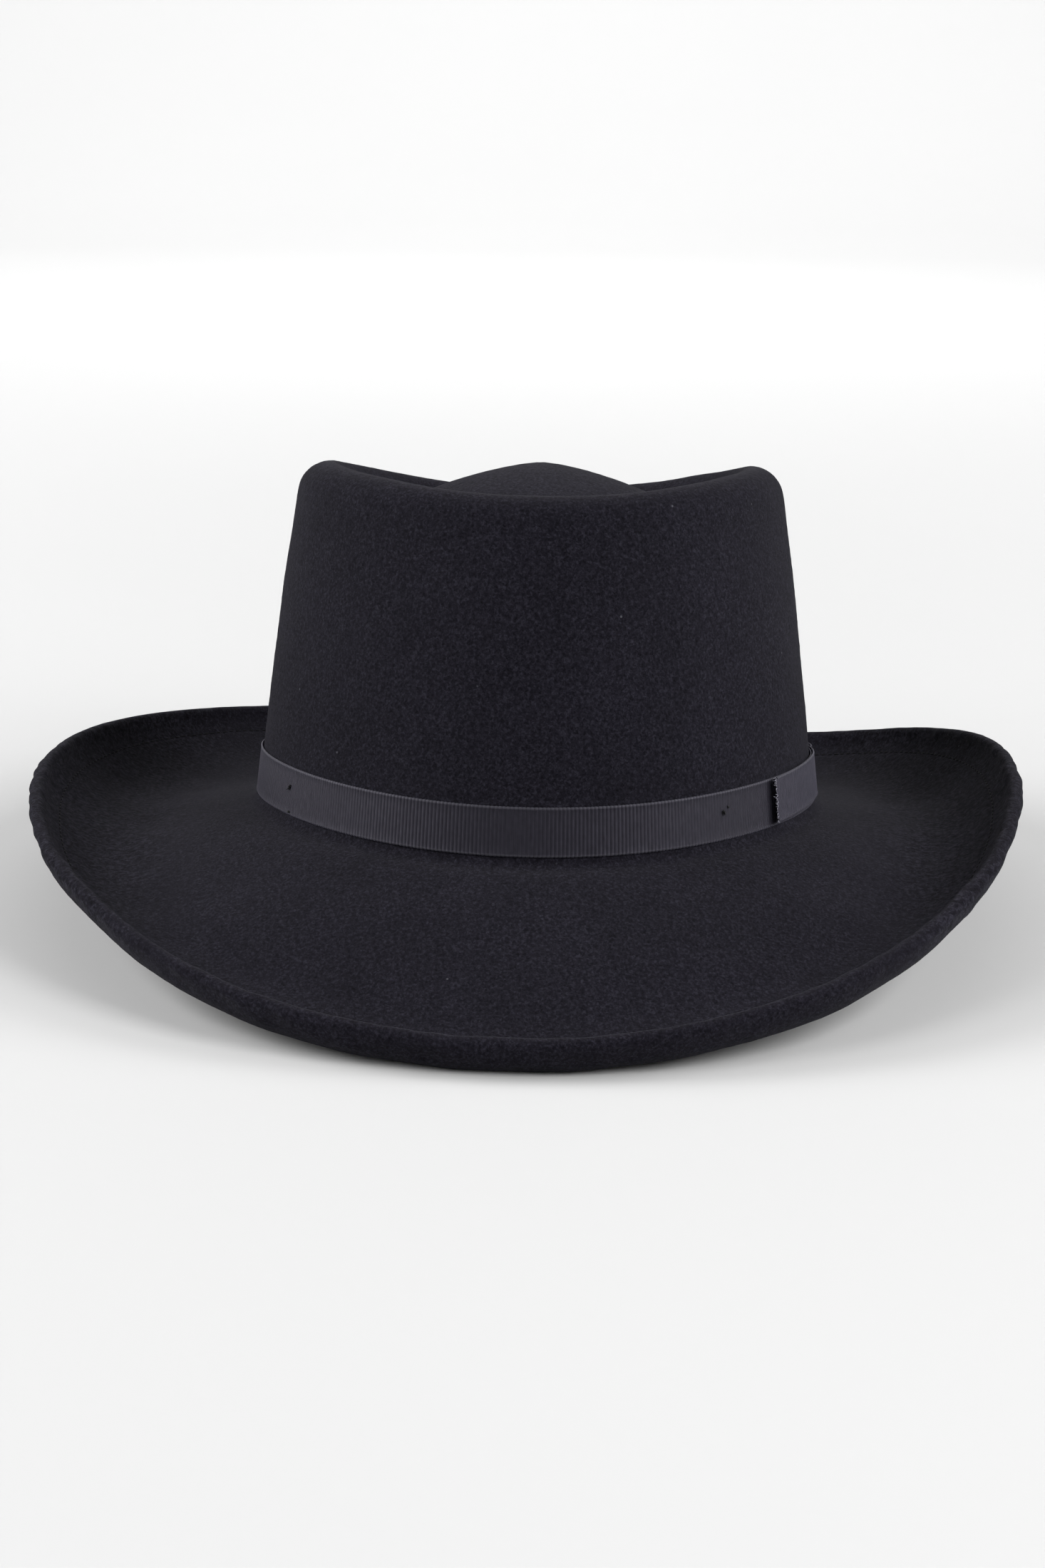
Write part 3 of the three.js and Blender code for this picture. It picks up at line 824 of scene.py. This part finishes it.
def loop_place():
    """The loops are one flattened ring of ribbon: out over the tails, round and back beneath."""
    near = 2 * LAYER + GAP + RIBBON_THICKNESS / 2
    far = 3 * LAYER + GAP + RIBBON_THICKNESS / 2
    t = np.linspace(-1, 1, 90)
    full = LOOP_FULLNESS * np.sin(np.maximum(0, np.abs(t) - LOOP_SWELL_FROM) * LOOP_SWELL_RATE)
    bend = np.radians(np.linspace(90, -90, 12)[1:-1])

    def end(way, angles):
        return np.stack([way * (1 + LOOP_END_REACH * np.cos(angles)),
                         (near + far) / 2 + (far - near) / 2 * np.sin(angles)], -1)

    path = np.concatenate([
        np.stack([t, far + full], -1), end(1, bend),
        np.stack([-t, np.full_like(t, near)], -1), end(-1, -bend)])
    angles = np.radians(BOW_TURN + path[:, 0] * LOOP_HALF_TURN)
    line = wall_point(RIBBON_MIDDLE, angles, path[:, 1])
    run = running_length(np.concatenate([line, line[:1]]))
    angle_run = np.append(angles, angles[0])
    out_run = np.append(path[:, 1], path[0, 1])
    ahead = unit(np.roll(line, -1, 0) - np.roll(line, 1, 0))
    side = unit(np.cross(ahead, np.array([0, 0, 1.0])))
    side_run = np.concatenate([side, side[:1]])

    def place(s, across, out):
        s = np.mod(s, run[-1])
        angle, offset = np.interp(s, run, angle_run), np.interp(s, run, out_run)
        normal = unit(rows_at(s, run, side_run))
        return wall_point(across, angle, offset) + normal * np.asarray(out)[..., None]

    return place, run[-1]


loops_place, loops_length = loop_place()
loops = place_piece(strip("bow_loop_cloth", loops_place, loops_length, RIBBON_LOOK, closed=True),
                    "grosgrain", "bow_loops")


KNOT_CORNER = 0.55
KNOT_TUCK = 0.45  # how far off the wall the wrap's two ends stop
KNOT_CLEARANCE = 0.15
KNOT_PINCH, KNOT_BULGE = 0.1, 0.12


def knot_place():
    """The knot's ribbon runs down over the loops and tucks in behind the band's edges."""
    outer = 4 * LAYER + GAP + KNOT_CLEARANCE
    high, low = RIBBON_TOP + GAP + RIBBON_THICKNESS / 2, RIBBON_BOTTOM - GAP - RIBBON_THICKNESS / 2

    def corner(z, start, end):
        return [(outer - KNOT_CORNER + KNOT_CORNER * math.cos(bend), z + KNOT_CORNER * math.sin(bend))
                for bend in np.radians(np.linspace(start, end, 6))]

    path = np.array([(KNOT_TUCK, high)] + corner(high - KNOT_CORNER, 90, 0)
                    + corner(low + KNOT_CORNER, 0, -90) + [(KNOT_TUCK, low)])
    run = running_length(path)
    fine = np.linspace(0, run[-1], 300)
    fine_path = rows_at(fine, run, path)
    ahead = np.gradient(fine_path, axis=0)
    normal = unit(np.stack([-ahead[:, 1], ahead[:, 0]], -1))

    def place(s, across, out):
        point = rows_at(s, fine, fine_path) + rows_at(s, fine, normal) * np.asarray(out)[..., None]
        share = (across - RIBBON_BOTTOM) / (RIBBON_TOP - RIBBON_BOTTOM) * 2 - 1
        middle = np.sin(np.clip(s / run[-1], 0, 1) * math.pi)
        angle = np.radians(BOW_TURN - share * KNOT_HALF_TURN * (1 - KNOT_PINCH * middle))
        bulge = KNOT_BULGE * (1 - share ** 2) * middle
        return wall_point(point[..., 1], angle, point[..., 0] + bulge)

    return place, run[-1]


place_piece(strip("bow_knot_cloth", *knot_place(), RIBBON_LOOK), "grosgrain", "bow_knot")


# ---- Tacks that hold the band ----

TACK_HEIGHT = 8.5
KNOT_SIZES = (0.55, 0.3)
THREAD_RADII = (0.17, 0.12)
CROWN_RADIUS = 97  # near enough to turn a distance along the ribbon into a turn


def tack(side, degrees, seed, trail):
    """A small knot of thread on the ribbon, and a second smaller one that lies off it by trail."""
    rng = np.random.default_rng(seed)
    parts = []
    for centre, size, radius in zip(((0.0, 0.0), trail), KNOT_SIZES, THREAD_RADII):
        t = np.linspace(0, TAU, 40)
        around, up = (sum(rng.uniform(0.3, 0.8) * np.sin(k * t + rng.uniform(0, TAU)) for k in (1, 2, 3))
                      for _ in range(2))
        out = 0.32 + 0.2 * np.sin(3 * t + rng.uniform(0, TAU)) + 0.1 * np.cos(5 * t)
        angle = np.radians(degrees) + (centre[0] + around * size) / CROWN_RADIUS
        knot_line = wall_point(TACK_HEIGHT + centre[1] + up * size, angle, LAYER + out * size / KNOT_SIZES[0])
        parts.append(tubes(knot_line[None], radius, 6, True))
    verts, faces = join_parts(parts)
    node = f"band_tack_{side}"
    place_piece(make_object(f"{node}_thread", to_row(verts), faces, THREAD_LOOK), "thread", node)


tack("left", 38.6, 71, (2.3, 1.2))
tack("right", -57, 72, (0.6, -7.0))
tack("back", 192, 73, (-1.6, 0.9))


# ---- Sweatband ----

SWEATBAND_STITCH_PITCH, SEWN_CREASE = 2.6, 0.25
ROUND_OFF = [0.45, 0.16, 0.03]  # how much each face draws in at the three rows nearest an edge
FLAT_ROWS = 26
sweat_angles = np.radians(np.linspace(SLIT_TURN, 720 - SLIT_TURN, 420))
sweat_rows = np.concatenate([
    SWEATBAND_TOP - np.array([0, 0.08, 0.3]),
    np.linspace(SWEATBAND_TOP - 0.9, SWEATBAND_BOTTOM + 0.8, FLAT_ROWS),
    SWEATBAND_BOTTOM + np.array([0.3, 0.08, 0]),
])
round_off = np.array(ROUND_OFF + [0] * FLAT_ROWS + ROUND_OFF[::-1])


def sweatband_mesh():
    rows = np.broadcast_to(sweat_rows, (len(sweat_angles), len(sweat_rows)))
    angle = sweat_angles[:, None] + 0 * rows
    soft = 0.16 * waviness(wall_point(rows, angle, -4.0), 26, 31)
    crease = SEWN_CREASE * np.exp(-((rows - SEWN_HEIGHT) / 0.8) ** 2)
    outer, inner = -SWEATBAND_INSET, -SWEATBAND_INSET - SWEATBAND_THICKNESS
    front = wall_point(rows, angle, outer - round_off[None, :] + soft)
    back = wall_point(rows, angle, inner + round_off[None, :] + soft + crease)
    rings = np.concatenate([front, back[:, ::-1]], 1)
    v = np.concatenate([sweat_rows, sweat_rows[::-1] + 100])
    verts, faces, uv = skin(rings, False, sweat_angles * 90 * MM, v * MM)
    return make_object("sweatband_leather_strip", to_row(verts), faces, LEATHER_LOOK, uv)


sweatband = place_piece(sweatband_mesh(), "sweatband_leather", "sweatband")

full_turn = np.arange(480) * TAU / 480
sweat_line = wall_point(SEWN_HEIGHT, full_turn, SEWN_CREASE - SWEATBAND_INSET - SWEATBAND_THICKNESS)
sweat_facing = unit(wall_point(SEWN_HEIGHT, full_turn, -10.0) - wall_point(SEWN_HEIGHT, full_turn, 0.0))
verts, faces = stitches(sweat_line, sweat_facing, SWEATBAND_STITCH_PITCH, 0.8, 0.3)
place_piece(make_object("sweatband_stitches", to_row(verts), faces, THREAD_LOOK), "thread",
            "sweatband_stitching")

reed_inset = SWEATBAND_INSET + SWEATBAND_THICKNESS / 2
reed_line = wall_point(REED_HEIGHT, full_turn, -reed_inset)
verts, faces = tubes(reed_line[None], REED_RADIUS, 14, True)
place_piece(make_object("sweatband_reed_cord", to_row(verts), faces, REED_LOOK), "reed_plastic",
            "sweatband_reed")


TAPE_TOP, TAPE_INNER_TOP, TAPE_THICKNESS = 9.0, 1.6, 0.35


def tape_mesh():
    """A folded tape round the reed: up the outside, under the reed and up over the sweatband."""
    bend = np.radians(np.linspace(0, -180, 19))
    outer_leg = np.stack([np.full(8, 1.0), np.linspace(TAPE_TOP, REED_HEIGHT + 0.3, 8)], -1)
    inner_leg = np.stack([np.full(5, -1.0), np.linspace(REED_HEIGHT + 0.3, TAPE_INNER_TOP, 5)], -1)

    def face(radius):
        under = np.stack([radius * np.cos(bend), REED_HEIGHT + radius * np.sin(bend)], -1)
        return np.concatenate([outer_leg * [radius, 1], under, inner_leg * [radius, 1]])

    inside = REED_RADIUS + GAP
    profile = np.concatenate([face(inside + TAPE_THICKNESS), face(inside)[::-1]])
    rings = wall_point(profile[None, :, 1], full_turn[:, None], profile[None, :, 0] - reed_inset)
    rings += unit(rings * [1, 1, 0]) * (0.05 * waviness(rings, 7, 41))[..., None]
    verts, faces, uv = skin(rings, True)
    return make_object("sweatband_reed_tape", to_row(verts), faces, TAPE_LOOK, uv * MM)


place_piece(tape_mesh(), "cotton_tape", "sweatband_tape")


BOW_HEIGHT, BOW_HALF_LENGTH = 9.0, 8.1
BOW_KNOT_DEPTH, BOW_KNOT_RISE, BOW_KNOT_OUT = 0.42, 1.25, 0.28
BOW_KNOT_STEPS = ((-1.1, 0.85), (-0.9, 1.0), (-0.3, 1.06), (0.3, 1.06), (0.9, 1.0), (1.1, 0.85))


def sweatband_bow_mesh():
    """A small flat ribbon bow over the slit: two loops and a knot."""
    at = wall_point(BOW_HEIGHT, math.pi, -(SWEATBAND_INSET + SWEATBAND_THICKNESS + GAP + 1.0))
    along, up = np.meshgrid(np.linspace(-1, 1, 61), np.linspace(-1, 1, 13), indexing="ij")
    away = np.abs(along)
    half = 0.95 + 2.0 * away ** 0.7 * (1 - 0.25 * away ** 3)
    x = BOW_HALF_LENGTH * along
    z = half * up * (1 - 0.05 * np.cos(up * 3))
    puff = 0.14 + 0.22 * (1 - up ** 2) * np.sin(np.clip(away, 0, 1) * math.pi) ** 0.7
    pleat = 0.06 * np.sin(up * 9) * (1 - away)
    edge = np.sqrt(np.clip(1 - np.maximum(away, np.abs(up)) ** 8, 0, 1))
    front = at + np.stack([x, -(puff + pleat) * edge, z], -1)
    back = at + np.stack([x, 0.15 * edge, z], -1)
    bow, bow_faces, _ = skin(np.concatenate([front[:, ::-1], back], 1), False)
    bend = np.arange(24) * TAU / 24
    out = -BOW_KNOT_OUT - BOW_KNOT_DEPTH * np.cos(bend)
    ring = np.stack([0 * bend, out, BOW_KNOT_RISE * np.sin(bend)], -1)
    knot, knot_faces, _ = skin(
        np.array([at + ring * [1, grow, grow] + [x, 0, 0] for x, grow in BOW_KNOT_STEPS]), False)
    verts, faces = join_parts([(bow, bow_faces), (knot, knot_faces)])
    return make_object("sweatband_bow_ribbon", to_row(verts), faces, RIBBON_LOOK)


place_piece(sweatband_bow_mesh(), "grosgrain", "sweatband_bow")


# ---- Lining ----

LINING_RADIUS = 88  # near enough to turn a turn into a distance round the lining
GATHERS = 46
DEEPEST_GATHER = 1.5
PUCKERS = (23, 31, 37, 43, 52, 61, 74)  # how many times each goes round
PUCKER_DEPTH, TIP_WAVE = 0.45, 0.5
lining_angles = np.arange(540) * TAU / 540
lining_outer = -(FELT + GAP)


def lining_wall_mesh():
    share = np.concatenate([[0, 0.004], np.linspace(0.015, 0.985, 40), [0.996, 1]])
    top = LINING_CEILING - break_z(lining_angles)
    rows = mix(top[:, None], LINING_BOTTOM, share[None, :])
    angle = lining_angles[:, None] + 0 * rows
    around = angle * LINING_RADIUS
    whole = LINING_RADIUS * TAU
    rng = np.random.default_rng(51)
    folds = np.zeros_like(rows)
    for _ in range(GATHERS):  # they hang from the piping and fade downward
        at, width, depth = rng.uniform(0, whole), rng.uniform(2.0, 5.5), rng.uniform(0.25, 0.9)
        lean = rng.normal(0, 3)
        away = np.abs((around + lean * share[None, :] - at + whole / 2) % whole - whole / 2)
        folds += depth * np.exp(-(away / width) ** 2) * (1 - share[None, :]) ** rng.uniform(0.4, 1.4)
    folds *= smoothstep(0.0, 0.06, share)[None, :]
    folds = DEEPEST_GATHER * np.tanh(folds / DEEPEST_GATHER)
    edge = np.clip(np.minimum(share, 1 - share) / 0.004, 0, 1)[None, :]
    front = wall_point(rows, angle, lining_outer - folds - 0.15 * (1 - edge))
    back = wall_point(rows, angle, lining_outer - LINING_THICKNESS * (0.35 + 0.65 * edge) - folds)
    rings = np.concatenate([front, back[:, ::-1]], 1)
    verts, faces, uv = skin(rings, True)
    return make_object("lining_wall_satin", to_row(verts), faces, SATIN_LOOK, uv * MM)


lining_wall = place_piece(lining_wall_mesh(), "satin", "lining_wall")


def lining_tip_mesh():
    share = np.concatenate([np.linspace(0.03, 0.96, 44), [0.985, 1.0]])
    top = LINING_CEILING - break_z(lining_angles)
    foot = wall_point(top - SEAM_DROP, lining_angles, lining_outer - LINING_THICKNESS - GAP)
    rng = np.random.default_rng(52)
    pucker = sum(rng.uniform(0.3, 1) * np.sin(k * lining_angles + rng.uniform(0, TAU)) for k in PUCKERS) / 4
    near_seam = smoothstep(0.55, 0.95, share) * (1 - smoothstep(0.97, 1, share))
    points = foot[:, None] * np.stack([share, share, np.ones_like(share)], -1)[None]
    points[..., 2] += TIP_RISE * (1 - share[None, :] ** 2)
    points[..., 2] += PUCKER_DEPTH * pucker[:, None] * near_seam[None, :]
    points[..., 2] += TIP_WAVE * waviness(points, 48, 53) * (1 - share[None, :] ** 4)
    under = points - np.array([0, 0, LINING_THICKNESS])
    middles = [points[:, 0].mean(0), under[:, 0].mean(0)]
    verts, faces = fan_closed(np.concatenate([points, under[:, ::-1]], 1), middles)
    return make_object("lining_tip_satin", to_row(verts), faces, SATIN_LOOK)


lining_tip = place_piece(lining_tip_mesh(), "satin", "lining_tip")

piping_inset = lining_outer - LINING_THICKNESS - GAP - PIPING_RADIUS
piping_drop = SEAM_DROP + LINING_THICKNESS + GAP + PIPING_RADIUS
piping_line = wall_point(LINING_CEILING - break_z(full_turn) - piping_drop, full_turn, piping_inset)
piping_line += unit(piping_line * [1, 1, 0]) * (0.1 * waviness(piping_line, 15, 61))[:, None]
verts, faces = tubes(piping_line[None], PIPING_RADIUS, 14, True)
place_piece(make_object("lining_piping_satin", to_row(verts), faces, SATIN_LOOK), "satin", "lining_piping")


# ---- Camera, light and floor ----

PICTURE_HEIGHT = 2200
FOCAL_LENGTH = 4158  # in picture units
SENSOR = 36.0
CAMERA_PLACE = (-4.15, -918.0, 106.0)
PITCH, ROLL, YAW = math.radians(6.48), math.radians(0.9), math.radians(-0.3)


def add_camera():
    """Set in the hat frame: a little above the crown, far off in front, looking slightly down."""
    right = np.array([1.0, 0, 0])
    ahead = np.array([0, math.cos(PITCH), -math.sin(PITCH)])
    up = np.array([0, math.sin(PITCH), math.cos(PITCH)])
    right, up = right * math.cos(ROLL) + up * math.sin(ROLL), up * math.cos(ROLL) - right * math.sin(ROLL)
    c, s = math.cos(-YAW), math.sin(-YAW)
    swing = np.array([[c, -s, 0], [s, c, 0], [0, 0, 1]])
    place = to_row(swing @ np.array(CAMERA_PLACE))
    axes = [ROTATION @ swing @ v for v in (right, up, -ahead)]
    data = bpy.data.cameras.new("camera")
    data.sensor_width = SENSOR
    data.lens = FOCAL_LENGTH / PICTURE_HEIGHT * SENSOR
    data.clip_start, data.clip_end = 0.01, 50
    camera = bpy.data.objects.new("camera", data)
    bpy.context.scene.collection.objects.link(camera)
    rows = np.column_stack(axes + [place]).tolist()
    camera.matrix_world = Matrix(rows + [[0, 0, 0, 1]])
    bpy.context.scene.camera = camera


def add_light(name, place, target, size, watts):
    data = bpy.data.lights.new(name, "AREA")
    data.shape = "RECTANGLE"
    data.size, data.size_y = size
    data.energy = watts
    light = bpy.data.objects.new(name, data)
    light.location = place
    light.rotation_euler = (Vector(target) - Vector(place)).to_track_quat("-Z", "Y").to_euler()
    bpy.context.scene.collection.objects.link(light)


FLOOR_LEVEL = -0.0002  # keeps the floor clear of the resting flats
FLOOR_RADIUS, SWEEP_RADIUS, WALL_TOP = 2.4, 1.2, 3.2
SPOKES = 64


def add_floor():
    """A pale round floor that sweeps up to a wall all round the object."""
    profile = [(r, FLOOR_LEVEL) for r in FLOOR_RADIUS * np.arange(1, 7) / 6]
    profile += [(FLOOR_RADIUS + SWEEP_RADIUS * math.sin(a), SWEEP_RADIUS * (1 - math.cos(a)))
                for a in np.radians(np.arange(9, 91, 9))]
    profile += [(FLOOR_RADIUS + SWEEP_RADIUS, WALL_TOP)]
    spokes = np.arange(SPOKES) * TAU / SPOKES
    rings = [[(r * math.cos(a), r * math.sin(a), z) for a in spokes] for r, z in profile]
    verts = [(0, 0, FLOOR_LEVEL)] + [v for ring in rings for v in ring]
    faces = [(0, 1 + i, 1 + (i + 1) % SPOKES) for i in range(SPOKES)]
    for k in range(len(profile) - 1):
        low, high = 1 + SPOKES * k, 1 + SPOKES * (k + 1)
        for i in range(SPOKES):
            j = (i + 1) % SPOKES
            faces.append((low + i, high + i, high + j, low + j))
    n = Nodes("studio_floor")
    n.set(Roughness=0.9, Specular_IOR_Level=0.2)
    look = n.finish(n.mix(n.noise(1.5, 2), (0.52, 0.52, 0.52), (0.54, 0.54, 0.54)))
    floor = make_object("studio_floor", verts, faces, look)


WORLD_STRENGTH = 0.03
HAT_MIDDLE = (0.0, 0.0, 0.06)
SOFTBOXES = (  # name, place, target, size, watts
    ("softbox_above", (0.0, 0.1, 1.7), HAT_MIDDLE, (1.4, 1.2), 3.9),
    ("softbox_left", (-1.2, -1.0, 1.1), HAT_MIDDLE, (0.8, 1.0), 12),
    ("softbox_right", (1.2, -1.0, 1.1), HAT_MIDDLE, (0.8, 1.0), 25),
    ("softbox_far_left", (-1.6, 0.1, 0.9), HAT_MIDDLE, (1.0, 1.0), 34),
    ("softbox_far_right", (1.6, 0.1, 0.9), HAT_MIDDLE, (1.0, 1.0), 26),
    ("softbox_backdrop", (0.0, 1.6, 1.8), (0.0, 3.2, 0.2), (2.6, 0.9), 72),
    ("softbox_front_floor", (0.0, -2.2, 1.8), (0.0, -3.8, 0.2), (2.6, 0.9), 28),
)
add_camera()
add_floor()
world = bpy.data.worlds.new("studio")
world.use_nodes = True
world.node_tree.nodes["Background"].inputs["Color"].default_value = (1, 1, 1, 1)
world.node_tree.nodes["Background"].inputs["Strength"].default_value = WORLD_STRENGTH
bpy.context.scene.world = world
bpy.context.scene.view_settings.view_transform = "Standard"
for softbox in SOFTBOXES:
    add_light(*softbox)
